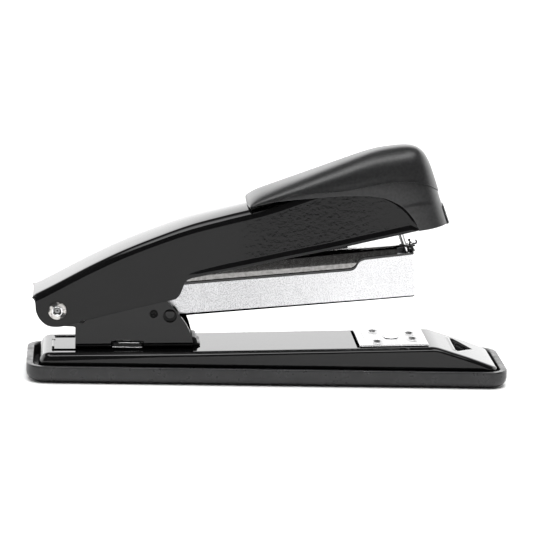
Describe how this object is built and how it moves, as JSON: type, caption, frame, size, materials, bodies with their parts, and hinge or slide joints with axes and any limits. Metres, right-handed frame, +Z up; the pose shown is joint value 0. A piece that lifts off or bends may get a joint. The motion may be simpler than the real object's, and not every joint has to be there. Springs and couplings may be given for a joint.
{
  "type": "stapler",
  "caption": "Full-strip desk stapler: sheet-metal handle with a plastic cap, hinged magazine with sprung pusher, turning anvil and soft base pad.",
  "frame": {"origin": "middle of the pad's flat underside, on the desk", "axes": "+X runs along the stapler towards the end that staples, +Y across it, +Z up from the desk"},
  "size_m": [0.205, 0.0426, 0.1013],
  "materials": {
    "pad_plastic": "soft black moulding, fine satin",
    "black_gloss": "gloss black stoved paint with a slight orange peel",
    "cap_plastic": "satin black with a fine spark texture",
    "zinc_steel": "bright zinc plate with a fine speckle",
    "cover_steel": "smooth plated steel, darker than the channel",
    "anvil_chrome": "bright plated, lightly worn round the hollows",
    "bright_steel": "polished steel",
    "spring_steel": "drawn spring steel",
    "staple_wire": "glued zinc-plated wire",
    "pusher_plastic": "moulded black"
  },
  "bodies": {
    "base": {"base_pad": "pad_plastic", "base_shell": "black_gloss", "hinge_bracket": "black_gloss", "base_tabs": "black_gloss", "base_rivets": "bright_steel", "lift_spring": "spring_steel", "wall_rivets": "black_gloss", "spring_pins": "black_gloss", "pivot_rivet": "bright_steel", "pivot_washers": "black_gloss", "pivot_spacers": "zinc_steel", "anvil_spring": "spring_steel"},
    "anvil_post": {"anvil_post": "bright_steel"},
    "anvil": {"anvil_plate": "anvil_chrome"},
    "magazine": {"magazine_channel": "zinc_steel", "staple_rail": "zinc_steel", "rod_front_plate": "zinc_steel", "rod_rear_plate": "zinc_steel", "guide_rod": "bright_steel", "pusher_spring": "spring_steel", "staple_strip": "staple_wire", "blade_guide": "bright_steel"},
    "pusher": {"pusher": "pusher_plastic"},
    "cover": {"staple_cover": "cover_steel"},
    "handle": {"handle_frame": "black_gloss", "handle_cap": "cap_plastic", "cap_band": "cap_plastic", "nose_plate": "black_gloss", "driver_blade": "bright_steel", "driver_rivet": "bright_steel", "handle_spring": "spring_steel"}
  },
  "joints": [
    {"name": "magazine_hinge", "type": "hinge", "parent": "base", "child": "magazine", "pos_m": [-0.0898, 0, 0.0296], "axis": [0, -1, 0], "range_deg": [-7.3, 0], "stiffness_Nm_per_rad": 1.2, "springref_deg": 22.92, "deforming": ["lift_spring"]},
    {"name": "cover_hinge", "type": "hinge", "parent": "magazine", "child": "cover", "pos_m": [-0.0898, 0, 0.0296], "axis": [0, -1, 0], "range_deg": [0, 80]},
    {"name": "handle_hinge", "type": "hinge", "parent": "cover", "child": "handle", "pos_m": [-0.0898, 0, 0.0296], "axis": [0, -1, 0], "range_deg": [-7.25, 0], "stiffness_Nm_per_rad": 1.5, "springref_deg": 22.92, "deforming": ["handle_spring"]},
    {"name": "pusher_slide", "type": "slide", "parent": "magazine", "child": "pusher", "axis": [-0.9948, 0, -0.1019], "range_m": [0, 0.045], "stiffness_N_per_m": 40, "springref_m": -0.06, "deforming": ["pusher_spring"]},
    {"name": "anvil_lift", "type": "slide", "parent": "base", "child": "anvil_post", "axis": [-0.0335, 0, 0.9994], "range_m": [0, 0.0015], "stiffness_N_per_m": 600, "springref_m": -0.003, "deforming": ["anvil_spring"]},
    {"name": "anvil_turn", "type": "hinge", "parent": "anvil_post", "child": "anvil", "pos_m": [0.0536, 0, 0.0163], "axis": [-0.0335, 0, 0.9994], "range_deg": [0, 180]}
  ]
}
